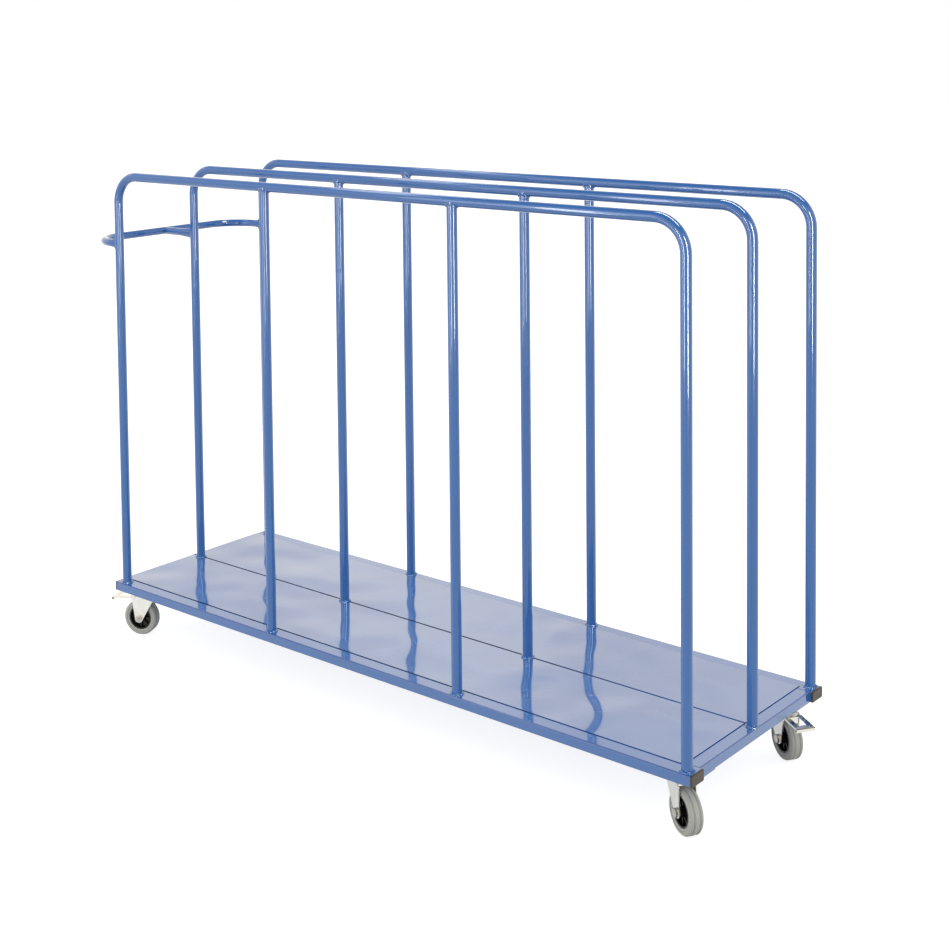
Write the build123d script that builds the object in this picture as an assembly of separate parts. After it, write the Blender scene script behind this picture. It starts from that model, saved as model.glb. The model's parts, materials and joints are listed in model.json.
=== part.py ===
from build123d import *
import os
from math import cos, pi, sin, sqrt

os.makedirs("parts", exist_ok=True)

# Mat trolley: three tubular hoops on a sheet-topped frame that rolls on four swivel casters.
# Millimetres. X runs along the length (+X is the end without the handle), Y across (+Y is the
# back), Z up. The origin is the middle of the deck's top face, on the middle hoop's plane.

# Hoops and the posts inside them
tube_diameter = 25.4
tube_wall = 1.5
hoop_length = 1830.0
hoop_spacing = 284.0
hoop_rise = 1169.5
hoop_bend_radius = 75.0
left_post_offset = -327.0
right_post_offset = 295.0

# Base frame: rectangular rails, and how far they stand out past the posts' axes
rail_width = 50.0
rail_height = 25.0
rail_wall = 2.0
rail_corner_radius = 2.5
rail_side_reach = 18.0
rail_right_reach = 17.0
rail_left_reach = 27.0
right_end_rail_reach = 13.0

# Deck sheets
sheet_thickness = 1.5
sheet_width = 262.0
sheet_front_inset = 40.0
sheet_right_inset = 20.0
sheet_left_reach = 31.0
sheet_seam_gap = 3.0
sheet_hole_clearance = 0.6

# Plastic end caps of the rails
cap_rim = 5.0
cap_rim_fillet = 1.2
cap_plug_depth = 16.0
cap_plug_inset = 2.5
cap_fin_thickness = 1.6
cap_fin_clearance = 0.2
cap_fin_count = 3

# Push handle. Its tube is squeezed to an upright oval where it meets the posts. The bend takes
# all but a sliver of its square corner, so that the bent run keeps short straight ends.
handle_diameter = 22.0
handle_wall = 1.5
handle_height = 977.0
handle_reach = 131.0
handle_bend_radius = 100.0
handle_bend_share = 0.999
handle_oval_height = 30.0
handle_oval_width = 15.0
stub_taper_length = 60.0

# Welds
foot_weld_leg = 4.5
foot_weld_shoulder_share = 0.62
top_weld_leg = 3.0
post_end_depth = 2.5

# Caster pads and their fixings
caster_end_inset = 56.0
caster_side_inset = 70.0
pad_length = 130.0
pad_width = 112.0
pad_thickness = 5.0
pad_corner_radius = 8.0
bolt_spacing_x = 80.0
bolt_spacing_y = 60.0
bolt_diameter = 8.0
bolt_across_flats = 13.0
bolt_head_height = 5.3
bolt_hole_clearance = 0.5
washer_diameter = 16.0
washer_thickness = 1.6

# Caster, measured down from the top of its plate and out from its swivel axis
caster_height = 125.0
wheel_diameter = 100.0
wheel_trail = 40.0
plate_length = 105.0
plate_width = 84.0
plate_thickness = 3.0
plate_corner_radius = 8.0
crown_top = 8.0
crown_radius = 28.0
crown_skirt_height = 3.6
crown_skirt_thickness = 1.5
saddle_top = 12.0
brake_saddle_reach = 44.0
fork_thickness = 3.0
fork_gap = 40.0
leg_top_trailing = 46.0
brake_leg_top_trailing = 60.0
leg_top_leading = 20.0
leg_top_corner = 5.0
leg_shoulder_drop = 25.0
leg_shoulder_leading = 2.0
leg_boss_radius = 12.0
leg_boss_side_share = 0.85
leg_boss_drop_share = 0.52
king_pin_diameter = 12.0
king_pin_head_diameter = 20.0
king_pin_head_height = 3.0
running_clearance = 0.08
seat_gap = 0.3
ball_diameter = 4.7
ball_ring_radius = 19.0
ball_count = 18

# Wheel
tyre_width = 32.0
tyre_inner_diameter = 68.0
tyre_bead_width = 28.0
tyre_tread_width = 19.0
tyre_shoulder_drop = 6.5
tyre_wall_drop = 11.0
tread_groove_place = 8.0
tread_groove_width = 1.4
tread_groove_depth = 1.2
wall_rib_radius = 42.0
wall_rib_width = 2.0
wall_rib_height = 0.5
hub_boss_diameter = 24.0
hub_boss_width = 38.0
hub_rim_width = 28.0
hub_rim_thickness = 4.0
hub_web_thickness = 6.0
hub_rib_thickness = 2.5
hub_rib_width = 18.0
hub_rib_count = 8
bush_diameter = 15.0
axle_diameter = 10.0
axle_across_flats = 17.0
axle_head_height = 6.4
axle_tail = 3.0

# Brake pedal, measured out from the swivel axis like the rest of the caster
pedal_pin_out = 54.0
pedal_pin_drop = 19.0
pedal_pin_diameter = 6.0
pedal_pin_tail = 1.5
pedal_eye_radius = 6.0
pedal_neck_width = 38.0
pedal_neck_end = 64.0
pedal_width = 46.0
pedal_end = 121.0
pedal_thickness = 2.0
pedal_flange_depth = 5.0
pedal_lip_radius = 5.0
pedal_lip_bore = 5.4
pedal_lip_overhang = 1.0
pedal_window_start = 71.0
pedal_window_length = 38.0
pedal_window_width = 22.0
pedal_window_corner = 3.0
pedal_slope_angle = 4.0
shoe_start = 60.0
shoe_length = 9.0
shoe_width = 24.0
shoe_gap = 3.2

# Swivel of each caster as it stands: direction in which its wheel trails, anticlockwise from +X
trail_angle = {
    "front_left": 203.0,
    "front_right": -30.0,
    "back_left": 158.0,
    "back_right": -33.0,
}
braked_casters = ("front_left", "back_right")

# Every cut runs past the piece by this much
overrun = 4.0

# Places worked out from the sizes
tube_radius = tube_diameter / 2
half_length = hoop_length / 2
frame_half_width = hoop_spacing + rail_side_reach
rail_top = -sheet_thickness
rail_bottom = rail_top - rail_height
rail_middle = (rail_top + rail_bottom) / 2
rails_right = half_length + rail_right_reach
rails_left = -half_length - rail_left_reach
long_rail_middle = frame_half_width - rail_width / 2
right_end_face = half_length + right_end_rail_reach
sheet_right_edge = half_length - sheet_right_inset
sheet_left_edge = -half_length - sheet_left_reach
front_sheet_start = -frame_half_width + sheet_front_inset
back_sheet_start = front_sheet_start + sheet_width + sheet_seam_gap
handle_run_x = -half_length - handle_reach
limb_length = handle_reach - handle_bend_radius
caster_top = rail_bottom - pad_thickness
axle_drop = caster_height - wheel_diameter / 2
leg_inner = fork_gap / 2
leg_outer = leg_inner + fork_thickness
wheel_middle = Pos(wheel_trail, 0, -axle_drop)
hoop_places = {"front": -hoop_spacing, "middle": 0, "back": hoop_spacing}
post_places = {"left": left_post_offset, "right": right_post_offset}
caster_x = half_length - caster_end_inset
caster_y = frame_half_width - caster_side_inset
caster_places = {
    "front_left": (-caster_x, -caster_y),
    "front_right": (caster_x, -caster_y),
    "back_left": (-caster_x, caster_y),
    "back_right": (caster_x, caster_y),
}


def write(name, solids):
    """Writes one named piece, or one group of alike pieces that stay separate."""
    shape = Compound(children=solids) if isinstance(solids, list) else solids
    export_step(shape, f"parts/{name}.step")


def largest(shape):
    return shape.solids().sort_by(SortBy.VOLUME)[-1]


def across(diameter, length):
    """A round bar along Y, about the origin."""
    return Rot(90, 0, 0) * Cylinder(diameter / 2, length)


def tube_ring(diameter, wall):
    return Circle(diameter / 2) - Circle(diameter / 2 - wall)


# Base frame: two long rails, two end rails, a centre rail and short cross members


def rail(length):
    """A length of rectangular tube that starts at the origin and runs along +X."""
    outside = RectangleRounded(rail_width, rail_height, rail_corner_radius)
    inside = Rectangle(rail_width - 2 * rail_wall, rail_height - 2 * rail_wall)
    return extrude(Plane.YZ * (outside - inside), amount=length)


def long_rail(side):
    """The front rail (side -1) or the back rail (side 1), which run the full length."""
    return Pos(rails_left, side * long_rail_middle, rail_middle) * rail(rails_right - rails_left)


def end_rail(middle_x):
    """A rail across one end, butted between the long rails."""
    length = 2 * (frame_half_width - rail_width)
    return Pos(middle_x, -length / 2, rail_middle) * Rot(0, 0, 90) * rail(length)


def centre_rail():
    """The rail under the sheets' seam, butted between the end rails."""
    start = rails_left + rail_width
    end = right_end_face - rail_width
    return Pos(start, 0, rail_middle) * rail(end - start)


def cross_members():
    """Short rails under the inner posts, from each long rail to the centre rail."""
    length = frame_half_width - rail_width - rail_width / 2
    members = []
    for place_x in post_places.values():
        for start_y in (-frame_half_width + rail_width, rail_width / 2):
            members.append(Pos(place_x, start_y, rail_middle) * Rot(0, 0, 90) * rail(length))
    return members


# Plastic caps in the four open ends of the long rails


def end_cap():
    """A cap whose rim covers the rail's end, with a finned plug that goes in along -X."""
    rim_face = Plane.YZ * RectangleRounded(rail_width, rail_height, rail_corner_radius)
    rim = extrude(rim_face, amount=cap_rim)
    rim = fillet(rim.faces().sort_by(Axis.X)[-1].edges(), cap_rim_fillet)
    hole_width = rail_width - 2 * rail_wall
    hole_height = rail_height - 2 * rail_wall
    core = Rectangle(hole_width - 2 * cap_plug_inset, hole_height - 2 * cap_plug_inset)
    cap = rim + extrude(Plane.YZ * core, amount=-cap_plug_depth)
    fin = Rectangle(hole_width - 2 * cap_fin_clearance, hole_height - 2 * cap_fin_clearance)
    for number in range(1, cap_fin_count + 1):
        place = -number * cap_plug_depth / cap_fin_count
        cap += Pos(place, 0, 0) * extrude(Plane.YZ * fin, amount=cap_fin_thickness)
    return cap


def end_caps():
    caps = []
    for side in (-1, 1):
        caps.append(Pos(rails_right, side * long_rail_middle, rail_middle) * end_cap())
        caps.append(Pos(rails_left, side * long_rail_middle, rail_middle) * Rot(0, 0, 180) * end_cap())
    return caps


# Deck: two sheets on the rails, with a seam under the middle hoop


def deck_sheet(start_y):
    """One sheet, notched or drilled where the middle hoop and its posts come through."""
    length = sheet_right_edge - sheet_left_edge
    middle_x = (sheet_right_edge + sheet_left_edge) / 2
    middle_y = start_y + sheet_width / 2
    sheet = Pos(middle_x, middle_y, -sheet_thickness / 2) * Box(length, sheet_width, sheet_thickness)
    hole = Cylinder(tube_radius + sheet_hole_clearance, sheet_thickness + 2 * overrun)
    for place_x in (-half_length, left_post_offset, right_post_offset):
        sheet -= Pos(place_x, 0, 0) * hole
    return sheet


# Hoops: one bent tube each, whose legs stand on the rails


def hoop(place_y):
    path = FilletPolyline(
        (-half_length, place_y, rail_top),
        (-half_length, place_y, hoop_rise),
        (half_length, place_y, hoop_rise),
        (half_length, place_y, rail_top),
        radius=hoop_bend_radius,
    )
    start = Plane((-half_length, place_y, rail_top), z_dir=(0, 0, 1))
    return sweep(start * tube_ring(tube_diameter, tube_wall), path=path)


def top_tube_space(place_x, place_y, radius):
    """The space round the hoop's top tube near one inner post."""
    return Pos(place_x, place_y, hoop_rise) * Rot(0, 90, 0) * Cylinder(radius, 2 * tube_diameter)


def inner_post(place_x, place_y):
    """An upright tube from the rail to the hoop, its top cut to fit round the top tube."""
    height = hoop_rise - post_end_depth - rail_top
    post = Pos(place_x, place_y, rail_top) * extrude(tube_ring(tube_diameter, tube_wall), amount=height)
    return post - top_tube_space(place_x, place_y, tube_radius)


# Push handle: a flat U of tube on the left posts, with a short stub to the middle post


def facing_left(x, y, z):
    """A plane that faces -X, with its own X along +Y."""
    return Plane((x, y, z), x_dir=(0, 1, 0), z_dir=(-1, 0, 0))


def tapered_bar(length, inset):
    """A bar along -X that starts as an upright oval and ends round, smaller all round by inset."""
    oval = Ellipse(handle_oval_width / 2 - inset, handle_oval_height / 2 - inset)
    circle = Circle(handle_diameter / 2 - inset)
    return loft([facing_left(0, 0, 0) * oval, facing_left(-length, 0, 0) * circle])


def tapered_tube(length):
    return tapered_bar(length, 0) - tapered_bar(length, handle_wall)


def left_post_space(place_y):
    """The space that a hoop's left leg takes at the handle's height."""
    return Pos(-half_length, place_y, handle_height) * Cylinder(tube_radius, 2 * handle_oval_height)


def handle_tube():
    """The U itself: a limb from each outer post and one bent run between them."""
    bend_start = -half_length - limb_length
    path = FilletPolyline(
        (bend_start, -hoop_spacing, handle_height),
        (handle_run_x, -hoop_spacing, handle_height),
        (handle_run_x, hoop_spacing, handle_height),
        (bend_start, hoop_spacing, handle_height),
        radius=handle_bend_radius * handle_bend_share,
    )
    start = facing_left(bend_start, -hoop_spacing, handle_height)
    tube = sweep(start * tube_ring(handle_diameter, handle_wall), path=path)
    for side in (-1, 1):
        limb = Pos(-half_length, side * hoop_spacing, handle_height) * tapered_tube(limb_length)
        tube += limb - left_post_space(side * hoop_spacing)
    return tube


def handle_stub():
    """The short tube from the middle hoop's left leg to the handle's run."""
    round_start = facing_left(-half_length - stub_taper_length, 0, handle_height)
    round_tube = round_start * tube_ring(handle_diameter, handle_wall)
    stub = extrude(round_tube, amount=handle_reach - stub_taper_length)
    stub += Pos(-half_length, 0, handle_height) * tapered_tube(stub_taper_length)
    run = Pos(handle_run_x, 0, handle_height) * across(handle_diameter, hoop_spacing)
    return stub - left_post_space(0) - run


# Weld beads


def foot_bead(place_x, place_y, base):
    """A ring of weld round a post's foot, kept inside the frame's right end."""
    shoulder = foot_weld_leg * foot_weld_shoulder_share
    profile = Polygon(
        (tube_radius, 0),
        (tube_radius + foot_weld_leg, 0),
        (tube_radius + shoulder, shoulder),
        (tube_radius, foot_weld_leg),
        align=None,
    )
    bead = Pos(place_x, place_y, base) * revolve(Plane.XZ * profile, Axis.Z)
    room = 2 * tube_diameter
    beyond = Box(room, room, room, align=(Align.MIN, Align.CENTER, Align.CENTER))
    return bead - Pos(right_end_face, place_y, base) * beyond


def foot_beads():
    """The middle hoop's beads lie on the sheets, except at the right end; the others on the rails."""
    beads = []
    for place_y in hoop_places.values():
        for place_x in (-half_length, left_post_offset, right_post_offset, half_length):
            on_sheet = place_y == 0 and place_x < sheet_right_edge
            beads.append(foot_bead(place_x, place_y, 0 if on_sheet else rail_top))
    return beads


def top_beads():
    """Weld in the corner between each inner post and its top tube."""
    beads = []
    for place_y in hoop_places.values():
        for place_x in post_places.values():
            place = Pos(place_x, place_y, hoop_rise - tube_radius)
            collar = place * Cylinder(tube_radius + top_weld_leg, tube_diameter)
            collar = collar & top_tube_space(place_x, place_y, tube_radius + top_weld_leg)
            collar -= top_tube_space(place_x, place_y, tube_radius)
            beads.append(largest(collar - place * Cylinder(tube_radius, 2 * tube_diameter)))
    return beads


def handle_beads():
    """Weld where the handle's two limbs and its stub meet the left posts."""
    beads = []
    for place_y in hoop_places.values():
        place = Pos(-half_length, place_y, handle_height)
        near_post = place * Cylinder(tube_radius + top_weld_leg, 2 * handle_oval_height)
        near_tube = place * tapered_bar(handle_reach / 2, -top_weld_leg)
        taper = stub_taper_length if place_y == 0 else limb_length
        collar = (near_post & near_tube) - left_post_space(place_y)
        beads.append(largest(collar - place * tapered_bar(taper, 0)))
    return beads


# Pads, bolts and washers that hold the casters


def corner_places():
    """A plate's four bolt places, from its middle."""
    return [
        (along * bolt_spacing_x / 2, over * bolt_spacing_y / 2)
        for along in (-1, 1)
        for over in (-1, 1)
    ]


def caster_pads():
    """Steel plates welded under the frame's corners, tapped for the bolts."""
    pads = []
    for x, y in caster_places.values():
        pad = extrude(RectangleRounded(pad_length, pad_width, pad_corner_radius), amount=-pad_thickness)
        for along, over in corner_places():
            pad -= Pos(along, over, 0) * Cylinder(bolt_diameter / 2, 2 * (pad_thickness + overrun))
        pads.append(Pos(x, y, rail_bottom) * pad)
    return pads


def fixing_bolts():
    length = pad_thickness + plate_thickness + washer_thickness
    hexagon = RegularPolygon(bolt_across_flats / 2, 6, major_radius=False)
    bolt = extrude(Circle(bolt_diameter / 2), amount=-length)
    bolt += Pos(0, 0, -length) * extrude(hexagon, amount=-bolt_head_height)
    return [
        Pos(x + along, y + over, rail_bottom) * bolt
        for x, y in caster_places.values()
        for along, over in corner_places()
    ]


def fixing_washers():
    ring = Circle(washer_diameter / 2) - Circle(bolt_diameter / 2)
    washer = extrude(ring, amount=-washer_thickness)
    return [
        Pos(x + along, y + over, caster_top - plate_thickness) * washer
        for x, y in caster_places.values()
        for along, over in corner_places()
    ]


# Caster pieces, made round the swivel axis with the wheel trailing along +X


def caster_plate():
    """The top plate with its four bolt holes and the hole that holds the king pin."""
    plate = extrude(RectangleRounded(plate_length, plate_width, plate_corner_radius), amount=-plate_thickness)
    depth = 2 * (plate_thickness + overrun)
    for along, over in corner_places():
        plate -= Pos(along, over, 0) * Cylinder(bolt_diameter / 2 + bolt_hole_clearance, depth)
    return plate - Cylinder(king_pin_diameter / 2, depth)


def king_pin():
    """The rivet that carries the fork: flush in the plate, headed under the crown."""
    length = crown_top + fork_thickness + seat_gap
    pin = extrude(Circle(king_pin_diameter / 2), amount=-length)
    head = extrude(Circle(king_pin_head_diameter / 2), amount=-king_pin_head_height)
    return pin + Pos(0, 0, -length) * head


def swivel_balls():
    """The ring of balls that rolls between the plate and the crown."""
    balls = []
    for number in range(ball_count):
        turn = 2 * pi * number / ball_count
        x = ball_ring_radius * cos(turn)
        y = ball_ring_radius * sin(turn)
        balls.append(Pos(x, y, ball_diameter / 2 - crown_top) * Sphere(ball_diameter / 2))
    return balls


def leg_outline(trailing):
    """One leg's side view: wide under the crown, narrowing to a round boss at the axle."""
    boss_side = wheel_trail - leg_boss_radius * leg_boss_side_share
    boss_low = -axle_drop - leg_boss_radius * leg_boss_drop_share
    sides = Polygon(
        (-leg_top_leading, -saddle_top - fork_thickness),
        (-leg_shoulder_leading, -leg_shoulder_drop),
        (boss_side, boss_low),
        (wheel_trail + leg_boss_radius, -axle_drop),
        (trailing, -leg_shoulder_drop),
        (trailing, -saddle_top - leg_top_corner),
        (trailing - leg_top_corner, -saddle_top),
        (-leg_top_leading, -saddle_top),
        align=None,
    )
    return sides + Pos(wheel_trail, -axle_drop) * Circle(leg_boss_radius)


def fork(braked):
    """The pressed fork: a crown raised out of a flat saddle, and two legs down to the axle."""
    crown_height = saddle_top + fork_thickness - crown_top
    crown = Pos(0, 0, -crown_top) * extrude(Circle(crown_radius), amount=-crown_height)
    hollow = extrude(Circle(crown_radius - fork_thickness), amount=-crown_height)
    leg_trailing = brake_leg_top_trailing if braked else leg_top_trailing
    saddle_end = brake_saddle_reach if braked else leg_top_trailing - leg_top_corner
    saddle = Pos(saddle_end / 2, 0) * Rectangle(saddle_end, 2 * leg_outer)
    body = crown + Pos(0, 0, -saddle_top) * extrude(saddle, amount=-fork_thickness)
    body -= Pos(0, 0, -crown_top - fork_thickness) * hollow
    skirt = Circle(crown_radius) - Circle(crown_radius - crown_skirt_thickness)
    body += Pos(0, 0, -crown_top) * extrude(skirt, amount=crown_skirt_height)
    for side in (-1, 1):
        outer_face = Plane((0, side * leg_outer, 0), x_dir=(1, 0, 0), z_dir=(0, -1, 0))
        body += extrude(outer_face * leg_outline(leg_trailing), amount=side * fork_thickness)
    body -= Cylinder(king_pin_diameter / 2 + running_clearance, 2 * (saddle_top + overrun))
    body -= wheel_middle * across(axle_diameter, 2 * (leg_outer + overrun))
    if braked:
        pin_place = Pos(pedal_pin_out, 0, -pedal_pin_drop)
        body -= pin_place * across(pedal_pin_diameter, 2 * (leg_outer + overrun))
    return body


def axle():
    """The wheel's bolt and its nut."""
    hexagon = RegularPolygon(axle_across_flats / 2, 6, major_radius=False)
    front_face = Plane((0, -leg_outer, 0), x_dir=(1, 0, 0), z_dir=(0, 1, 0))
    back_face = Plane((0, leg_outer, 0), x_dir=(1, 0, 0), z_dir=(0, 1, 0))
    length = 2 * leg_outer + axle_head_height + axle_tail
    bolt = extrude(front_face * Circle(axle_diameter / 2), amount=length)
    bolt += extrude(front_face * hexagon, amount=-axle_head_height)
    nut = extrude(back_face * (hexagon - Circle(axle_diameter / 2)), amount=axle_head_height)
    return [wheel_middle * bolt, wheel_middle * nut]


def bush():
    """The steel sleeve clamped between the legs, on which the hub turns."""
    return wheel_middle * (across(bush_diameter, fork_gap) - across(axle_diameter, fork_gap + 2 * overrun))


def hub():
    """The plastic centre: rim, thin web, ribs, and a boss bored for the bush."""
    rim_inner_diameter = tyre_inner_diameter - 2 * hub_rim_thickness
    body = across(tyre_inner_diameter, hub_rim_width)
    body -= across(rim_inner_diameter, hub_rim_width + 2 * overrun)
    body += across(tyre_inner_diameter, hub_web_thickness)
    rib_length = (rim_inner_diameter + tyre_inner_diameter) / 4
    for number in range(hub_rib_count):
        rib = Pos(rib_length / 2, 0, 0) * Box(rib_length, hub_rib_width, hub_rib_thickness)
        body += Rot(0, 360 * number / hub_rib_count, 0) * rib
    body += across(hub_boss_diameter, hub_boss_width)
    body -= across(bush_diameter + 2 * running_clearance, hub_boss_width + 2 * overrun)
    return wheel_middle * body


def tyre():
    """The tyre, round-shouldered, with two tread grooves and a rib on each wall."""
    inner = tyre_inner_diameter / 2
    outer = wheel_diameter / 2
    half_bead = tyre_bead_width / 2
    half_wall = tyre_width / 2
    half_tread = tyre_tread_width / 2
    wall = outer - tyre_wall_drop
    shoulder = outer - tyre_shoulder_drop
    section = make_face(
        Polyline((half_bead, inner), (half_wall, wall), (half_wall, shoulder))
        + TangentArc((half_wall, shoulder), (half_tread, outer), tangent=(0, 1))
        + Line((half_tread, outer), (-half_tread, outer))
        + TangentArc((-half_wall, shoulder), (-half_tread, outer), tangent=(0, 1))
        + Polyline((-half_wall, shoulder), (-half_wall, wall), (-half_bead, inner))
        + Line((-half_bead, inner), (half_bead, inner))
    )
    section_plane = Plane((0, 0, 0), x_dir=(0, 1, 0), z_dir=(1, 0, 0))
    body = revolve(section_plane * section, Axis.Y)
    wall_rib = across(2 * wall_rib_radius + wall_rib_width, tyre_width + 2 * wall_rib_height)
    body += wall_rib - across(2 * wall_rib_radius - wall_rib_width, tyre_width + 2 * overrun)
    groove = across(wheel_diameter + 2 * overrun, tread_groove_width)
    groove -= across(wheel_diameter - 2 * tread_groove_depth, tread_groove_width + 2 * overrun)
    for side in (-1, 1):
        body -= Pos(0, side * tread_groove_place, 0) * groove
    return wheel_middle * body


# Brake pieces


def brake_pin():
    """The pin through both legs on which the pedal turns."""
    length = 2 * (leg_outer + pedal_pin_tail)
    return Pos(pedal_pin_out, 0, -pedal_pin_drop) * across(pedal_pin_diameter, length)


def pedal_blade():
    """The pedal's flat top, from over its pin to the rolled lip, with the window in it."""
    thickness_middle = pedal_eye_radius - pedal_thickness / 2
    neck_length = pedal_neck_end - pedal_pin_out
    blade_length = pedal_end - pedal_neck_end
    blade_middle = neck_length + blade_length / 2
    window_middle = pedal_window_start - pedal_pin_out + pedal_window_length / 2
    blade = Pos(blade_middle, 0, thickness_middle) * Box(blade_length, pedal_width, pedal_thickness)
    blade += Pos(neck_length / 2, 0, thickness_middle) * Box(neck_length, pedal_neck_width, pedal_thickness)
    window = RectangleRounded(pedal_window_length, pedal_window_width, pedal_window_corner)
    blade -= Pos(window_middle, 0, thickness_middle) * extrude(window, amount=overrun, both=True)
    flange_length = blade_length - pedal_lip_radius / 2
    flange = Box(flange_length, pedal_thickness, pedal_flange_depth)
    for side in (-1, 1):
        flange_y = side * (pedal_width - pedal_thickness) / 2
        flange_z = pedal_eye_radius - pedal_flange_depth / 2
        blade += Pos(neck_length + flange_length / 2, flange_y, flange_z) * flange
    return blade


def pedal_lip():
    """The blade's end, rolled into a tube that stands out a little past both sides."""
    width = pedal_width + 2 * pedal_lip_overhang
    roll = across(2 * pedal_lip_radius, width) - across(pedal_lip_bore, width + 2 * overrun)
    return Pos(pedal_end - pedal_pin_out, 0, pedal_eye_radius - pedal_lip_radius) * roll


def pedal_ears():
    """Two ears that hang from the neck beside the tyre and take the pin."""
    neck_length = pedal_neck_end - pedal_pin_out
    outline = Circle(pedal_eye_radius)
    outline += Pos(neck_length / 2, pedal_eye_radius / 2) * Rectangle(neck_length, pedal_eye_radius)
    ears = []
    for side in (-1, 1):
        outer_face = Plane((0, side * pedal_neck_width / 2, 0), x_dir=(1, 0, 0), z_dir=(0, -1, 0))
        ears.append(extrude(outer_face * outline, amount=side * pedal_thickness))
    return ears


def brake_shoe():
    """The block under the neck, hollowed to stand clear of the tyre by the shoe gap."""
    under_neck = pedal_eye_radius - pedal_thickness
    block_end = shoe_start + shoe_length - pedal_pin_out
    wheel_from_pin = Pos(wheel_trail - pedal_pin_out, 0, pedal_pin_drop - axle_drop)
    block = Box(shoe_length, shoe_width, wheel_diameter / 2, align=(Align.MAX, Align.CENTER, Align.MAX))
    block = Pos(block_end, 0, under_neck) * block
    return block - wheel_from_pin * across(wheel_diameter + 2 * shoe_gap, tyre_width + 2 * overrun)


def brake_pedal():
    """The pressed pedal with its shoe, tilted down a little from its pin."""
    body = pedal_blade() + pedal_lip()
    for ear in pedal_ears():
        body += ear
    body += Rot(0, -pedal_slope_angle, 0) * brake_shoe()
    body -= across(pedal_pin_diameter + 2 * running_clearance, pedal_width + 2 * overrun)
    return Pos(pedal_pin_out, 0, -pedal_pin_drop) * Rot(0, pedal_slope_angle, 0) * body


write("front_rail", long_rail(-1))
write("back_rail", long_rail(1))
write("centre_rail", centre_rail())
write("left_end_rail", end_rail(rails_left + rail_width / 2))
write("right_end_rail", end_rail(right_end_face - rail_width / 2))
write("cross_members", cross_members())
write("rail_end_caps", end_caps())
write("deck_sheet_front", deck_sheet(front_sheet_start))
write("deck_sheet_back", deck_sheet(back_sheet_start))
for hoop_name, place_y in hoop_places.items():
    write(f"hoop_{hoop_name}", hoop(place_y))
    for post_name, place_x in post_places.items():
        write(f"post_{hoop_name}_{post_name}", inner_post(place_x, place_y))
write("handle_tube", handle_tube())
write("handle_stub", handle_stub())
write("foot_welds", foot_beads())
write("top_welds", top_beads())
write("handle_welds", handle_beads())
write("caster_pads", caster_pads())
write("fixing_bolts", fixing_bolts())
write("fixing_washers", fixing_washers())

king_pins = []
for corner, (x, y) in caster_places.items():
    under_pad = Pos(x, y, caster_top)
    turned = under_pad * Rot(0, 0, trail_angle[corner])
    braked = corner in braked_casters
    king_pins.append(turned * king_pin())
    write(f"caster_plate_{corner}", under_pad * caster_plate())
    write(f"swivel_balls_{corner}", [turned * ball for ball in swivel_balls()])
    write(f"fork_{corner}", turned * fork(braked))
    write(f"axle_{corner}", [turned * piece for piece in axle()])
    write(f"bush_{corner}", turned * bush())
    write(f"hub_{corner}", turned * hub())
    write(f"tyre_{corner}", turned * tyre())
    if braked:
        write(f"brake_pin_{corner}", turned * brake_pin())
        write(f"brake_pedal_{corner}", turned * brake_pedal())
write("king_pins", king_pins)
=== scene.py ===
import json
from math import cos, pi, radians, sin

import bpy
from mathutils import Matrix, Vector


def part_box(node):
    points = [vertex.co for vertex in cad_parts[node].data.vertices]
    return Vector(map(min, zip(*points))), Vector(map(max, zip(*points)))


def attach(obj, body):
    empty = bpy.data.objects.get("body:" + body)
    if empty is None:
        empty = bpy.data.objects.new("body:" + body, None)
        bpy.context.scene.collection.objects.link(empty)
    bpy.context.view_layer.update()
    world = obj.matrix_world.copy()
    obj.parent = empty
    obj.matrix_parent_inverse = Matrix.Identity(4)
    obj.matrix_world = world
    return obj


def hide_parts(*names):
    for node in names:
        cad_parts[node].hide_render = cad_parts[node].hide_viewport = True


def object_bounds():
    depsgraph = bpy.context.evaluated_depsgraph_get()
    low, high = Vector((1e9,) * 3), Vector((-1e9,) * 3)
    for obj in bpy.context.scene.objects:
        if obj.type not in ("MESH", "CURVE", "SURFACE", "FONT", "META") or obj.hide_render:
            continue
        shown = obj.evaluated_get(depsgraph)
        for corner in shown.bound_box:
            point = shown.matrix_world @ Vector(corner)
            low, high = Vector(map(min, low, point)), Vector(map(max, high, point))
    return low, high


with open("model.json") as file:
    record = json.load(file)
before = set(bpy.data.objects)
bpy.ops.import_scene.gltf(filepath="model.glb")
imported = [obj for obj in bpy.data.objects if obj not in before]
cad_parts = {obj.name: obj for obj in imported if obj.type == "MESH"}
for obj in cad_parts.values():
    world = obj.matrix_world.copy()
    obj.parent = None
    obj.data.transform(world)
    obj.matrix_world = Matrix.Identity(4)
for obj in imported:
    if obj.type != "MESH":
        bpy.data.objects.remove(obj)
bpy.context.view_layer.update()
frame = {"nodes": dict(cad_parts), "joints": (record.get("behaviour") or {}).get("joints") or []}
nodes = frame["nodes"]


# Blue powder coat, sprayed on the whole welded frame: rails, hoops, posts, handle and caster
# pads. It is a gloss coat with a fine orange peel and a slightly uneven tone. It is shinier on the
# flat rails, and a deeper blue line of painted shade runs along their rounded edges.

def new_material(name):
    """A new material, its node tree and the Principled shader in it."""
    material = bpy.data.materials.new(name)
    material.use_nodes = True
    tree = material.node_tree
    return material, tree, tree.nodes["Principled BSDF"]


def add_node(tree, kind, **settings):
    """One node with its settings, and with input values where a setting names an input."""
    node = tree.nodes.new(kind)
    for name, value in settings.items():
        if name in node.inputs:
            node.inputs[name].default_value = value
        else:
            setattr(node, name, value)
    return node


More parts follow.
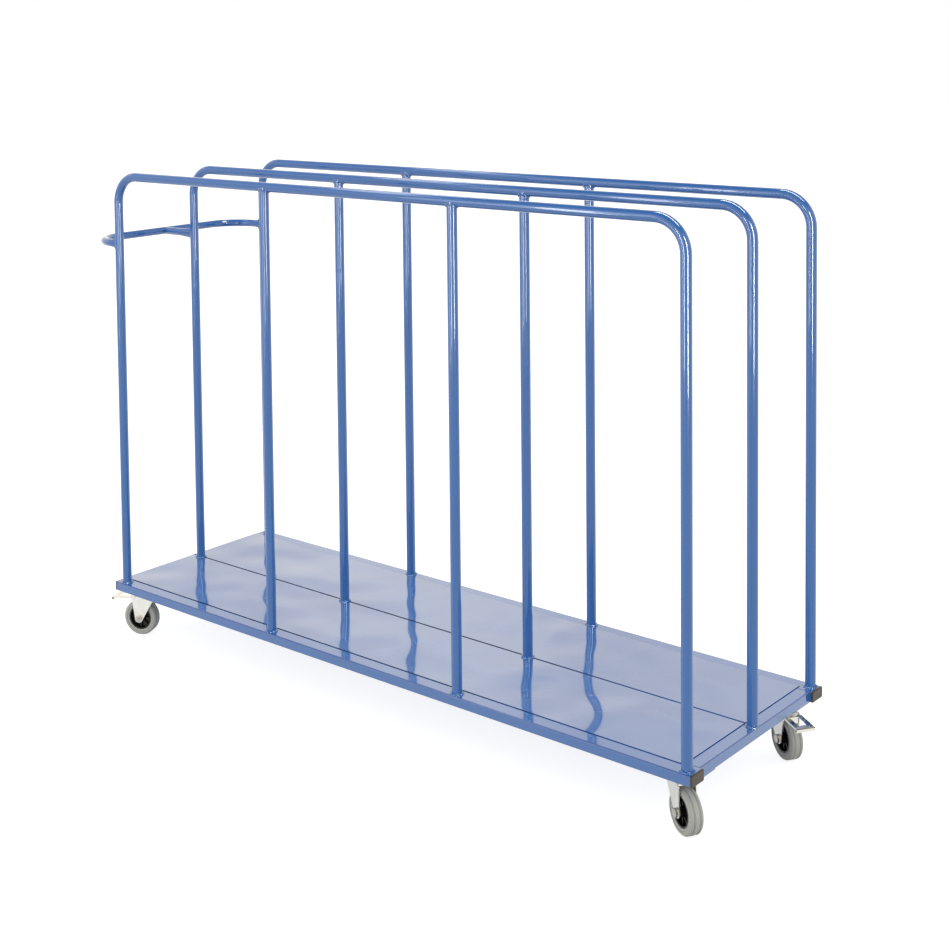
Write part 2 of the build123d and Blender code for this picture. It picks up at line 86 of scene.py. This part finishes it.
def between(tree, factor, low, high, start=0.0, end=1.0):
    """Carries a factor that runs from start to end over to a range of values."""
    change = add_node(tree, "ShaderNodeMapRange")
    change.inputs["From Min"].default_value = start
    change.inputs["From Max"].default_value = end
    change.inputs["To Min"].default_value = low
    change.inputs["To Max"].default_value = high
    tree.links.new(factor, change.inputs["Value"])
    return change.outputs["Result"]


def work_out(tree, operation, first, second):
    """The result of a maths node on two sockets."""
    maths = add_node(tree, "ShaderNodeMath", operation=operation)
    tree.links.new(first, maths.inputs[0])
    tree.links.new(second, maths.inputs[1])
    return maths.outputs["Value"]


def noise_at(tree, place, **settings):
    """A noise texture laid out by a place socket."""
    noise = add_node(tree, "ShaderNodeTexNoise", **settings)
    tree.links.new(place, noise.inputs["Vector"])
    return noise


def bump_from(tree, height, strength, distance):
    """A bump node driven by a height socket."""
    bump = add_node(tree, "ShaderNodeBump", Strength=strength, Distance=distance)
    tree.links.new(height, bump.inputs["Height"])
    return bump


def blend_colours(tree, factor, first, second):
    """Mixes two colours, or two colour sockets, by a factor."""
    mix = add_node(tree, "ShaderNodeMix", data_type="RGBA")
    for socket, colour in ((mix.inputs["A"], first), (mix.inputs["B"], second)):
        if isinstance(colour, tuple):
            socket.default_value = colour
        else:
            tree.links.new(colour, socket)
    tree.links.new(factor, mix.inputs["Factor"])
    return mix.outputs["Result"]


def give(material, *names):
    """Puts a material on CAD nodes."""
    for name in names:
        mesh = nodes[name].data
        mesh.materials.clear()
        mesh.materials.append(material)


def new_group(name, inputs, outputs):
    """A shader node group with named sockets."""
    group = bpy.data.node_groups.new(name, "ShaderNodeTree")
    for label, kind, value in inputs:
        socket = group.interface.new_socket(name=label, in_out="INPUT", socket_type=kind)
        if value is not None:
            socket.default_value = value
    for label, kind in outputs:
        group.interface.new_socket(name=label, in_out="OUTPUT", socket_type=kind)
    return group, group.nodes.new("NodeGroupInput"), group.nodes.new("NodeGroupOutput")


# Orange peel: a fine dimpled height, a slow change of tone, and patches of haze
orange_peel, peel_in, peel_out = new_group(
    "orange peel",
    [("Vector", "NodeSocketVector", None), ("Peel Scale", "NodeSocketFloat", 300.0)],
    [("Height", "NodeSocketFloat"), ("Tone", "NodeSocketFloat"), ("Haze", "NodeSocketFloat")],
)
peel_place = peel_in.outputs["Vector"]
peel_noise = noise_at(orange_peel, peel_place, Detail=2.0, Roughness=0.4)
orange_peel.links.new(peel_in.outputs["Peel Scale"], peel_noise.inputs["Scale"])
orange_peel.links.new(peel_noise.outputs["Fac"], peel_out.inputs["Height"])
tone_noise = noise_at(orange_peel, peel_place, Scale=3.5, Detail=3.0)
orange_peel.links.new(tone_noise.outputs["Fac"], peel_out.inputs["Tone"])
haze_noise = noise_at(orange_peel, peel_place, Scale=22.0, Detail=4.0)
orange_peel.links.new(haze_noise.outputs["Fac"], peel_out.inputs["Haze"])

deep_blue = (0.007, 0.108, 0.370, 1.0)
light_blue = (0.013, 0.134, 0.435, 1.0)
peel_depth = 0.00002


def powder_coat(name):
    """Gloss paint between the two blues, with orange peel under a clear skin."""
    material, tree, surface = new_material(name)
    place = add_node(tree, "ShaderNodeTexCoord")
    peel = add_node(tree, "ShaderNodeGroup", node_tree=orange_peel)
    tree.links.new(place.outputs["Object"], peel.inputs["Vector"])
    colour = blend_colours(tree, peel.outputs["Tone"], deep_blue, light_blue)
    tree.links.new(colour, surface.inputs["Base Color"])
    haze = between(tree, peel.outputs["Haze"], low=0.10, high=0.20)
    tree.links.new(haze, surface.inputs["Roughness"])
    bump = bump_from(tree, peel.outputs["Height"], strength=1.0, distance=peel_depth)
    tree.links.new(bump.outputs["Normal"], surface.inputs["Normal"])
    surface.inputs["Coat Weight"].default_value = 1.0
    surface.inputs["Coat Roughness"].default_value = 0.03
    return material, tree, surface, place, bump


blue_paint = powder_coat("blue paint")[0]
give(blue_paint, "caster_pads")

# Rounded edges: a mask of where the surface faces none of the three directions squarely
rounded_edges, edges_in, edges_out = new_group(
    "rounded edges", [("Normal", "NodeSocketVector", None)], [("Mask", "NodeSocketFloat")]
)
edges_facing = add_node(rounded_edges, "ShaderNodeVectorMath", operation="ABSOLUTE")
rounded_edges.links.new(edges_in.outputs["Normal"], edges_facing.inputs[0])
edges_split = add_node(rounded_edges, "ShaderNodeSeparateXYZ")
rounded_edges.links.new(edges_facing.outputs["Vector"], edges_split.inputs["Vector"])
edges_level = work_out(
    rounded_edges, "MAXIMUM", edges_split.outputs["X"], edges_split.outputs["Y"]
)
edges_squareness = work_out(rounded_edges, "MAXIMUM", edges_level, edges_split.outputs["Z"])
flat_squareness = 0.99
rounded_squareness = 0.85
edges_mask = between(
    rounded_edges, edges_squareness, 0.0, 1.0, flat_squareness, rounded_squareness
)
rounded_edges.links.new(edges_mask, edges_out.inputs["Mask"])

# Painted shade: a deeper blue along the rails' rounded edges, picked out by their normals
edge_shade_blue = (0.001, 0.040, 0.250, 1.0)
rail_paint, rail_tree, rail_surface, rail_place, _ = powder_coat("rail paint")
rail_edges = add_node(rail_tree, "ShaderNodeGroup", node_tree=rounded_edges)
rail_tree.links.new(rail_place.outputs["Normal"], rail_edges.inputs["Normal"])
rail_face_colour = rail_surface.inputs["Base Color"].links[0].from_socket
rail_colour = blend_colours(rail_tree, rail_edges.outputs["Mask"], rail_face_colour, edge_shade_blue)
rail_tree.links.new(rail_colour, rail_surface.inputs["Base Color"])
rail_surface.inputs["Coat IOR"].default_value = 1.7
give(
    rail_paint,
    "front_rail", "back_rail", "centre_rail", "left_end_rail", "right_end_rail", "cross_members",
)


# Deck: two thin steel sheets in the same blue, laid on the rails with a seam between them. They
# are not quite flat, so the posts stand in them as wavy reflections, and they lie under more
# clear coat than the tubes.

deck_paint, deck_tree, deck_surface, deck_place, deck_bump = powder_coat("deck paint")
sheet_wave_height = 0.014
sheet_wave = noise_at(
    deck_tree, deck_place.outputs["Object"], Scale=4.2, Detail=1.0, Roughness=0.35
)
wave_bump = bump_from(
    deck_tree, sheet_wave.outputs["Fac"], strength=1.0, distance=sheet_wave_height
)
deck_tree.links.new(wave_bump.outputs["Normal"], deck_bump.inputs["Normal"])
deck_tree.links.new(wave_bump.outputs["Normal"], deck_surface.inputs["Coat Normal"])
deck_surface.inputs["Coat IOR"].default_value = 2.2
deck_surface.inputs["Coat Roughness"].default_value = 0.05
give(deck_paint, "deck_sheet_front", "deck_sheet_back")


# Joint lines: strips of painted shade, dark blue and matt, stand for the shadow in the seam between
# the sheets and in the corners where their cut edges stand on the rails. They sit a little below
# the sheets, with a thin film of painted shade along the seam. Towards the right end they turn
# blue.

# Painted shade for the gaps: mottled dark blue, turning blue towards the right end
dark_gap_shade = (0.005, 0.009, 0.038, 1.0)
pale_gap_shade = (0.012, 0.022, 0.085, 1.0)
right_end_blue = (0.018, 0.075, 0.260, 1.0)
blueing_starts = 0.25
blueing_ends = 0.75

gap_shade, gap_shade_tree, gap_shade_surface = new_material("joint filler")
gap_shade_place = add_node(gap_shade_tree, "ShaderNodeTexCoord")
gap_shade_noise = noise_at(gap_shade_tree, gap_shade_place.outputs["Object"], Scale=240.0, Detail=4.0)
mottled_gap_shade = blend_colours(gap_shade_tree, gap_shade_noise.outputs["Fac"], dark_gap_shade, pale_gap_shade)
gap_shade_split = add_node(gap_shade_tree, "ShaderNodeSeparateXYZ")
gap_shade_tree.links.new(gap_shade_place.outputs["Object"], gap_shade_split.inputs["Vector"])
blueing = between(
    gap_shade_tree, gap_shade_split.outputs["X"], 0.0, 1.0, blueing_starts, blueing_ends
)
gap_shade_colour = blend_colours(gap_shade_tree, blueing, mottled_gap_shade, right_end_blue)
gap_shade_tree.links.new(gap_shade_colour, gap_shade_surface.inputs["Base Color"])
gap_shade_surface.inputs["Roughness"].default_value = 0.85
gap_shade_surface.inputs["Specular IOR Level"].default_value = 0.1

gap_shade_width = 0.0012
gap_shade_drop = 0.0003
gap_shade_rounding = 0.0003
film_reach = 0.0012
film_thickness = 0.0002
film_rounding = 0.00008
front_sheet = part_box("deck_sheet_front")
back_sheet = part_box("deck_sheet_back")
sheets_left = front_sheet[0][0]
sheets_right = front_sheet[1][0]
sheets_front = front_sheet[0][1]
sheets_back = back_sheet[1][1]
sheet_bottom = front_sheet[0][2]
sheet_top = front_sheet[1][2]
seam_front = front_sheet[1][1]
seam_back = back_sheet[0][1]
gap_shade_top = sheet_top - gap_shade_drop


def gap_shade_strip(name, low, high, edge_rounding):
    """A strip of painted shade between two corners, with rounded edges."""
    bpy.ops.object.select_all(action="DESELECT")
    bpy.ops.mesh.primitive_cube_add(size=1.0, location=[(a + b) / 2 for a, b in zip(low, high)])
    shade_strip = bpy.context.object
    shade_strip.name = name
    shade_strip.scale = [b - a for a, b in zip(low, high)]
    bpy.ops.object.transform_apply(location=True, rotation=True, scale=True)
    rounding = shade_strip.modifiers.new("rounding", "BEVEL")
    rounding.width = edge_rounding
    rounding.segments = 2
    bpy.ops.object.modifier_apply(modifier="rounding")
    shade_strip.data.materials.append(gap_shade)
    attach(shade_strip, "frame")


gap_shade_strip(
    "gap_shade_front",
    (sheets_left, sheets_front - gap_shade_width, sheet_bottom),
    (sheets_right + gap_shade_width, sheets_front, gap_shade_top),
    gap_shade_rounding,
)
gap_shade_strip(
    "gap_shade_right",
    (sheets_right, sheets_front, sheet_bottom),
    (sheets_right + gap_shade_width, sheets_back, gap_shade_top),
    gap_shade_rounding,
)
gap_shade_strip(
    "gap_shade_back",
    (sheets_left, sheets_back, sheet_bottom),
    (sheets_right + gap_shade_width, sheets_back + gap_shade_width, gap_shade_top),
    gap_shade_rounding,
)

# The seam's painted shade stops on both sides of the leg and the two posts that stand in the seam
seam_starts = [sheets_left]
seam_ends = []
foot_reach = 0.0133
for post in ("hoop_middle", "post_middle_left", "post_middle_right"):
    low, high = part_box(post)
    tube_width = high[1] - low[1]
    middle = low[0] + tube_width / 2
    seam_ends.append(middle - foot_reach)
    seam_starts.append(middle + foot_reach)
seam_ends.append(sheets_right)
for number, (start, end) in enumerate(zip(seam_starts, seam_ends)):
    gap_shade_strip(
        f"gap_shade_seam_{number}",
        (start, seam_front, sheet_bottom),
        (end, seam_back, gap_shade_top),
        gap_shade_rounding,
    )
    gap_shade_strip(
        f"gap_shade_film_{number}",
        (start, seam_front - film_reach, sheet_top),
        (end, seam_back + film_reach, sheet_top + film_thickness),
        film_rounding,
    )


# End caps: dark plastic plugs pressed into the open ends of the long rails. Their faces are
# moulded with a fine grain and have gone dusty; the rounded edges of their rims are darkened with
# painted shade.

clean_cap = (0.042, 0.035, 0.026, 1.0)
dusty_cap = (0.092, 0.079, 0.060, 1.0)
# Painted shade on the caps' rounded rims, picked out by their normals
rim_shade = (0.016, 0.011, 0.008, 1.0)
cap_grain_depth = 0.0004

cap_plastic, cap_tree, cap_surface = new_material("cap plastic")
cap_place = add_node(cap_tree, "ShaderNodeTexCoord")
cap_grain = noise_at(cap_tree, cap_place.outputs["Object"], Scale=900.0, Detail=3.0)
cap_dust = noise_at(cap_tree, cap_place.outputs["Object"], Scale=70.0, Detail=4.0)
cap_face_colour = blend_colours(cap_tree, cap_dust.outputs["Fac"], clean_cap, dusty_cap)
cap_edges = add_node(cap_tree, "ShaderNodeGroup", node_tree=rounded_edges)
cap_tree.links.new(cap_place.outputs["Normal"], cap_edges.inputs["Normal"])
cap_colour = blend_colours(cap_tree, cap_edges.outputs["Mask"], cap_face_colour, rim_shade)
cap_tree.links.new(cap_colour, cap_surface.inputs["Base Color"])
cap_bump = bump_from(
    cap_tree, cap_grain.outputs["Fac"], strength=0.4, distance=cap_grain_depth
)
cap_tree.links.new(cap_bump.outputs["Normal"], cap_surface.inputs["Normal"])
cap_surface.inputs["Roughness"].default_value = 0.45
give(cap_plastic, "rail_end_caps")


# Hoops and inner posts: each hoop is one bent steel tube, with two straight posts inside it that
# are cut to the round of its top. They are welded to the frame, and painted with it.

rows = ["front", "middle", "back"]
sides = ["left", "right"]
hoop_names = [f"hoop_{row}" for row in rows]
post_names = [f"post_{row}_{side}" for row in rows for side in sides]
give(blue_paint, *hoop_names, *post_names)


# Push handle: a steel tube bent to a U, with squeezed ends that are welded to the left legs of the
# front and back hoops, and a short stub that ties it to the middle one.

give(blue_paint, "handle_tube", "handle_stub")


# Weld beads, painted over. Those at the feet are thick and lumpy, a ring of overlapping puddles
# with a little spatter that catches the light; those at the tops and the handle are smaller.

weld_paint, weld_tree, _, weld_place, weld_bump = powder_coat("weld paint")
weld_ripple_height = 0.0012
weld_ripple = noise_at(weld_tree, weld_place.outputs["Object"], Scale=260.0, Detail=2.0)
ripple_bump = bump_from(
    weld_tree, weld_ripple.outputs["Fac"], strength=1.0, distance=weld_ripple_height
)
weld_tree.links.new(ripple_bump.outputs["Normal"], weld_bump.inputs["Normal"])
give(weld_paint, "top_welds", "handle_welds")

bead_ring_reach = 0.0012
bead_thickness = 0.0033
bead_height_share = 1.25
lump_size = 0.0065
lump_height = 0.0022
turn_between_welds = radians(97.0)
smoothing_angle = radians(40.0)
hoop_low, hoop_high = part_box("hoop_front")
tube_radius = (hoop_high[1] - hoop_low[1]) / 2

bpy.ops.object.select_all(action="DESELECT")
bpy.ops.mesh.primitive_torus_add(
    major_radius=tube_radius + bead_ring_reach,
    minor_radius=bead_thickness,
    major_segments=72,
    minor_segments=16,
)
foot_bead = bpy.context.object
foot_bead.scale = (1.0, 1.0, bead_height_share)
bpy.ops.object.transform_apply(location=False, rotation=False, scale=True)
lumps = bpy.data.textures.new("weld lumps", "CLOUDS")
lumps.noise_scale = lump_size
lumps.noise_depth = 1
lump_push = foot_bead.modifiers.new("lumps", "DISPLACE")
lump_push.texture = lumps
lump_push.texture_coords = "LOCAL"
lump_push.strength = lump_height
bpy.ops.object.modifier_apply(modifier="lumps")
bpy.ops.object.mode_set(mode="EDIT")
bpy.ops.mesh.select_all(action="SELECT")
bpy.ops.mesh.bisect(plane_co=(0, 0, 0), plane_no=(0, 0, 1), use_fill=True, clear_inner=True)
bpy.ops.object.mode_set(mode="OBJECT")

# A weld at each foot, on the rails or, in the middle row, on the sheets where these reach. The
# beads are cut off flush with the frame's end.
weld_places = []
frame_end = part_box("right_end_rail")[1][0]
rail_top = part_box("front_rail")[1][2]
for row, hoop in zip(rows, hoop_names):
    low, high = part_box(hoop)
    middle_y = (low[1] + high[1]) / 2
    along = [low[0] + tube_radius, high[0] - tube_radius]
    for side in sides:
        post = f"post_{row}_{side}"
        post_low, post_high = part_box(post)
        along.append((post_low[0] + post_high[0]) / 2)
    for middle_x in along:
        on_sheet = row == "middle" and middle_x < sheets_right
        weld_places.append((middle_x, middle_y, sheet_top if on_sheet else rail_top))

foot_welds = []
for number, place in enumerate(weld_places):
    copy = foot_bead.copy()
    copy.data = foot_bead.data.copy()
    bpy.context.collection.objects.link(copy)
    bpy.ops.object.select_all(action="DESELECT")
    copy.select_set(True)
    bpy.context.view_layer.objects.active = copy
    copy.rotation_euler = (0, 0, number * turn_between_welds)
    copy.location = place
    bpy.ops.object.transform_apply(location=True, rotation=True, scale=True)
    bpy.ops.object.mode_set(mode="EDIT")
    bpy.ops.mesh.select_all(action="SELECT")
    bpy.ops.mesh.bisect(
        plane_co=(frame_end, 0, 0), plane_no=(1, 0, 0), use_fill=True, clear_outer=True
    )
    bpy.ops.object.mode_set(mode="OBJECT")
    foot_welds.append(copy)
bpy.data.objects.remove(foot_bead)
bpy.ops.object.select_all(action="DESELECT")
for weld in foot_welds:
    weld.select_set(True)
bpy.context.view_layer.objects.active = foot_welds[0]
bpy.ops.object.join()
foot_beads = bpy.context.object
foot_beads.name = "foot_weld_beads"
bpy.ops.object.shade_smooth_by_angle(angle=smoothing_angle)
foot_beads.data.materials.append(weld_paint)
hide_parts("foot_welds")
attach(foot_beads, "frame")


# Casters: pressed steel plates and forks, zinc-plated, with the cloudy, slightly yellow sheen of
# passivation. The fork turns on a riveted king pin over a ring of balls. The brake pedals are
# polished by shoes, and brighter; the axle bolts are a darker, patchier zinc.

corners = ["front_left", "front_right", "back_left", "back_right"]
braked = ["front_left", "back_right"]

dull_zinc = (0.70, 0.69, 0.65, 1.0)
clean_zinc = (0.93, 0.92, 0.88, 1.0)
# A darker and a paler tone for the axle bolts' zinc, mixed in patches
dark_bolt_zinc = (0.30, 0.29, 0.27, 1.0)
pale_bolt_zinc = (0.78, 0.77, 0.73, 1.0)
zinc_grain_depth = 0.0001


def zinc_coat(name, dark_tone, light_tone, smoothest, roughest):
    """Zinc plate with a fine grain, cloudy between two tones and two roughnesses."""
    material, tree, surface = new_material(name)
    place = add_node(tree, "ShaderNodeTexCoord")
    cloud = noise_at(tree, place.outputs["Object"], Scale=45.0, Detail=5.0)
    colour = blend_colours(tree, cloud.outputs["Fac"], dark_tone, light_tone)
    tree.links.new(colour, surface.inputs["Base Color"])
    haze = between(tree, cloud.outputs["Fac"], smoothest, roughest)
    tree.links.new(haze, surface.inputs["Roughness"])
    grain = noise_at(tree, place.outputs["Object"], Scale=1500.0, Detail=2.0)
    bump = bump_from(tree, grain.outputs["Fac"], strength=0.15, distance=zinc_grain_depth)
    tree.links.new(bump.outputs["Normal"], surface.inputs["Normal"])
    surface.inputs["Metallic"].default_value = 1.0
    return material


zinc_plate = zinc_coat(
    "zinc plate", dull_zinc, clean_zinc, smoothest=0.20, roughest=0.36
)
bright_zinc = zinc_coat(
    "bright zinc", dull_zinc, clean_zinc, smoothest=0.06, roughest=0.16
)
bolt_zinc = zinc_coat(
    "bolt zinc", dark_bolt_zinc, pale_bolt_zinc, smoothest=0.10, roughest=0.20
)
give(zinc_plate, "fixing_bolts", "fixing_washers", "king_pins")
for corner in corners:
    give(zinc_plate, f"caster_plate_{corner}", f"fork_{corner}")
    give(zinc_plate, f"bush_{corner}", f"swivel_balls_{corner}")
    give(bolt_zinc, f"axle_{corner}")
for corner in braked:
    give(zinc_plate, f"brake_pin_{corner}")
    give(bright_zinc, f"brake_pedal_{corner}")


# Wheels: a black plastic centre with ribs, and a grey rubber tyre moulded on it. The rubber has
# fine mould rings round the axle, whose dark bands are painted shade, and is paler where handled
# and scuffed.

clean_hub = (0.003, 0.003, 0.0025, 1.0)
scuffed_hub = (0.012, 0.011, 0.009, 1.0)

hub_plastic, hub_tree, hub_surface = new_material("hub plastic")
hub_place = add_node(hub_tree, "ShaderNodeTexCoord")
hub_scuff = noise_at(hub_tree, hub_place.outputs["Object"], Scale=120.0, Detail=5.0)
hub_colour = blend_colours(hub_tree, hub_scuff.outputs["Fac"], clean_hub, scuffed_hub)
hub_tree.links.new(hub_colour, hub_surface.inputs["Base Color"])
hub_haze = between(hub_tree, hub_scuff.outputs["Fac"], low=0.18, high=0.34)
hub_tree.links.new(hub_haze, hub_surface.inputs["Roughness"])
hub_surface.inputs["Specular IOR Level"].default_value = 0.35

# Mould rings: bands by the distance from the axle, which lies along Y through the origin, and
# over the tread by the distance from the wheel's middle
mould_rings, rings_in, rings_out = new_group(
    "mould rings",
    [("Vector", "NodeSocketVector", None), ("Rings", "NodeSocketFloat", 260.0)],
    [("Band", "NodeSocketFloat"), ("Scuff", "NodeSocketFloat")],
)
rings_split = add_node(mould_rings, "ShaderNodeSeparateXYZ")
mould_rings.links.new(rings_in.outputs["Vector"], rings_split.inputs["Vector"])
rings_flat = add_node(mould_rings, "ShaderNodeCombineXYZ")
mould_rings.links.new(rings_split.outputs["X"], rings_flat.inputs["X"])
mould_rings.links.new(rings_split.outputs["Z"], rings_flat.inputs["Z"])
rings_radius = add_node(mould_rings, "ShaderNodeVectorMath", operation="LENGTH")
mould_rings.links.new(rings_flat.outputs["Vector"], rings_radius.inputs[0])
rings_side = add_node(mould_rings, "ShaderNodeMath", operation="ABSOLUTE")
mould_rings.links.new(rings_split.outputs["Y"], rings_side.inputs[0])
rings_reach = work_out(
    mould_rings, "ADD", rings_radius.outputs["Value"], rings_side.outputs["Value"]
)
rings_count = work_out(mould_rings, "MULTIPLY", rings_reach, rings_in.outputs["Rings"])
rings_line = add_node(
    mould_rings, "ShaderNodeTexNoise", noise_dimensions="1D", Scale=1.0, Detail=2.0
)
mould_rings.links.new(rings_count, rings_line.inputs["W"])
mould_rings.links.new(rings_line.outputs["Fac"], rings_out.inputs["Band"])
rings_scuff = noise_at(mould_rings, rings_in.outputs["Vector"], Scale=75.0, Detail=5.0)
mould_rings.links.new(rings_scuff.outputs["Fac"], rings_out.inputs["Scuff"])

# Painted shade: the dark bands of the mould rings, as in fine grooves
ring_shade_rubber = (0.15, 0.15, 0.138, 1.0)
grey_rubber = (0.44, 0.44, 0.405, 1.0)
pale_rubber = (0.64, 0.64, 0.595, 1.0)
ring_depth = 0.0004


def tyre_rubber(corner):
    """The tyre's rubber, with its rings centred on this corner's axle."""
    roll = next(joint for joint in frame["joints"] if joint["name"] == f"roll_{corner}")
    axle = Vector(roll["axis"])
    material, tree, surface = new_material(f"tyre rubber {corner}")
    place = add_node(tree, "ShaderNodeTexCoord")
    centre = add_node(tree, "ShaderNodeMapping", vector_type="TEXTURE")
    centre.inputs["Location"].default_value = roll["pos_m"]
    centre.inputs["Rotation"].default_value = Vector((0, 1, 0)).rotation_difference(axle).to_euler()
    tree.links.new(place.outputs["Object"], centre.inputs["Vector"])
    rings = add_node(tree, "ShaderNodeGroup", node_tree=mould_rings)
    tree.links.new(centre.outputs["Vector"], rings.inputs["Vector"])
    ringed = blend_colours(tree, rings.outputs["Band"], ring_shade_rubber, pale_rubber)
    scuff = between(tree, rings.outputs["Scuff"], low=0.0, high=0.7)
    scuffed = blend_colours(tree, scuff, ringed, grey_rubber)
    tree.links.new(scuffed, surface.inputs["Base Color"])
    haze = between(tree, rings.outputs["Scuff"], low=0.40, high=0.60)
    tree.links.new(haze, surface.inputs["Roughness"])
    bump = bump_from(tree, rings.outputs["Band"], strength=0.5, distance=ring_depth)
    tree.links.new(bump.outputs["Normal"], surface.inputs["Normal"])
    return material


for corner in corners:
    give(hub_plastic, f"hub_{corner}")
    give(tyre_rubber(corner), f"tyre_{corner}")


# Room: a pale floor that takes the trolley's shadow, a white surround that is dimmer overhead,
# soft lights above and to the left, and reflection strips whose images run along the tubes alone.

floor_width = 60.0
floor_grey = (0.50, 0.50, 0.49, 1.0)
glow_seen_directly = 0.80
glow_seen_mirrored = 0.52
floor_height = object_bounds()[0][2]
bpy.ops.object.select_all(action="DESELECT")
bpy.ops.mesh.primitive_plane_add(size=floor_width, location=(0, 0, floor_height))
floor = bpy.context.object
floor.name = "floor"
floor_paint, floor_tree, floor_surface = new_material("floor paint")
floor_surface.inputs["Base Color"].default_value = floor_grey
floor_surface.inputs["Roughness"].default_value = 1.0
floor_surface.inputs["Specular IOR Level"].default_value = 0.0
floor_rays = add_node(floor_tree, "ShaderNodeLightPath")
glossy_glow = add_node(floor_tree, "ShaderNodeMath", operation="MULTIPLY")
glossy_glow.inputs[1].default_value = glow_seen_mirrored
floor_tree.links.new(floor_rays.outputs["Is Glossy Ray"], glossy_glow.inputs[0])
floor_glow = add_node(floor_tree, "ShaderNodeMath", operation="MULTIPLY_ADD")
floor_glow.inputs[1].default_value = glow_seen_directly
floor_tree.links.new(floor_rays.outputs["Is Camera Ray"], floor_glow.inputs[0])
floor_tree.links.new(glossy_glow.outputs[0], floor_glow.inputs[2])
floor_surface.inputs["Emission Color"].default_value = (1, 1, 1, 1)
floor_tree.links.new(floor_glow.outputs[0], floor_surface.inputs["Emission Strength"])
floor.data.materials.append(floor_paint)

world = bpy.data.worlds.new("studio")
bpy.context.scene.world = world
world.use_nodes = True
room = world.node_tree
backdrop = room.nodes["Background"]
room_rays = add_node(room, "ShaderNodeLightPath")
room_glossy = work_out(
    room, "MAXIMUM", room_rays.outputs["Is Glossy Ray"], room_rays.outputs["Is Transmission Ray"]
)
room_direction = add_node(room, "ShaderNodeTexCoord")
room_split = add_node(room, "ShaderNodeSeparateXYZ")
room.links.new(room_direction.outputs["Generated"], room_split.inputs["Vector"])
room_height = room_split.outputs["Z"]
walls_end = 0.50
ceiling_starts = 0.80
mirrored_height = between(room, room_height, 1.0, 0.25, walls_end, ceiling_starts)
fill_height = between(room, room_height, 1.27, 0.85, walls_end, ceiling_starts)
room_patches = noise_at(room, room_direction.outputs["Generated"], Scale=5.0, Detail=1.0)
patch_tone = between(room, room_patches.outputs["Fac"], low=0.72, high=1.52)
mirrored_tone = work_out(room, "MULTIPLY", mirrored_height, patch_tone)
glossy_level = add_node(room, "ShaderNodeMix", data_type="FLOAT")
room.links.new(fill_height, glossy_level.inputs["A"])
room.links.new(room_glossy, glossy_level.inputs["Factor"])
room.links.new(mirrored_tone, glossy_level.inputs["B"])
camera_level = add_node(room, "ShaderNodeMix", data_type="FLOAT")
camera_level.inputs["B"].default_value = 1.0
room.links.new(room_rays.outputs["Is Camera Ray"], camera_level.inputs["Factor"])
room.links.new(glossy_level.outputs["Result"], camera_level.inputs["A"])
room.links.new(camera_level.outputs["Result"], backdrop.inputs["Strength"])
plain_white = (1.0, 1.0, 1.0, 1.0)
mirrored_white = (1.0, 0.935, 0.83, 1.0)
room_colour = blend_colours(room, room_glossy, plain_white, mirrored_white)
room.links.new(room_colour, backdrop.inputs["Color"])


def soft_light(name, place, aim, width, height, radiance):
    """A rectangular light whose brightness is set by how bright its face looks."""
    bpy.ops.object.light_add(type="AREA", location=place)
    light = bpy.context.object
    light.name = name
    light.rotation_euler = (Vector(aim) - Vector(place)).to_track_quat("-Z", "Y").to_euler()
    light.data.shape = "RECTANGLE"
    light.data.size = width
    light.data.size_y = height
    light.data.energy = radiance * pi * width * height
    light.visible_camera = False
    return light


soft_light(
    "overhead light", (-2.1, 0.1, 3.6), (-0.1, 0.1, 0.6), width=3.4, height=0.35, radiance=2.4
)
soft_light("left light", (-2.2, -4.2, 1.6), (0, 0, 0.5), width=1.6, height=2.2, radiance=1.5)

# Reflection strips: the pieces they light, then their names, places, aims, sizes and radiances
tubes = bpy.data.collections.new("tubes")
for name in (*hoop_names, *post_names, "handle_tube", "handle_stub", "top_welds", "handle_welds"):
    tubes.objects.link(nodes[name])
tubes.objects.link(foot_beads)
for name, place, aim, width, height, radiance in (
    ("near reflection strip", (2.35, -0.95, 1.25), (0.9, -0.1, 1.0), 0.25, 1.7, 32.0),
    ("far reflection strip", (0.70, -2.85, 1.05), (0.9, -0.3, 0.9), 0.32, 1.5, 18.0),
    ("left reflection strip", (-1.1, -2.8, 1.05), (-0.4, -0.3, 0.7), 0.25, 1.8, 8.0),
    ("bend reflection strip", (1.0, 0.25, 3.6), (0.8, -0.55, 1.1), 2.7, 0.6, 13.0),
):
    strip = soft_light(name, place, aim, width, height, radiance)
    strip.visible_diffuse = False
    strip.light_linking.receiver_collection = tubes


# Camera: where the photograph was taken from, looking a little down along the trolley's corner.
# Its axes are the view direction's, turned by a slight roll, and the shift frames the picture.

camera_place = Vector((2.59626, -3.14397, 1.55551))
focal_pixels = 1584.143
picture_pixels = 950.0
picture_centre = (374.657, 129.689)
sensor_width = 36.0
camera_yaw = radians(-41.582)
camera_pitch = radians(3.3874)
camera_roll = radians(-0.7861)
forward = Vector((
    sin(camera_yaw) * cos(camera_pitch),
    cos(camera_yaw) * cos(camera_pitch),
    -sin(camera_pitch),
))
level_right = Vector((cos(camera_yaw), -sin(camera_yaw), 0.0))
level_up = level_right.cross(forward)
rolled_right = level_right * cos(camera_roll) + level_up * sin(camera_roll)
rolled_up = level_up * cos(camera_roll) - level_right * sin(camera_roll)
bpy.ops.object.camera_add()
camera = bpy.context.object
camera.name = "camera"
turn = Matrix((rolled_right, rolled_up, -forward)).transposed().to_4x4()
camera.matrix_world = Matrix.Translation(camera_place) @ turn
camera.data.sensor_width = sensor_width
camera.data.lens = focal_pixels / picture_pixels * sensor_width
camera.data.shift_x = 0.5 - picture_centre[0] / picture_pixels
camera.data.shift_y = picture_centre[1] / picture_pixels - 0.5
camera.data.clip_end = 100.0
bpy.context.scene.camera = camera
bpy.context.scene.view_settings.view_transform = "Standard"
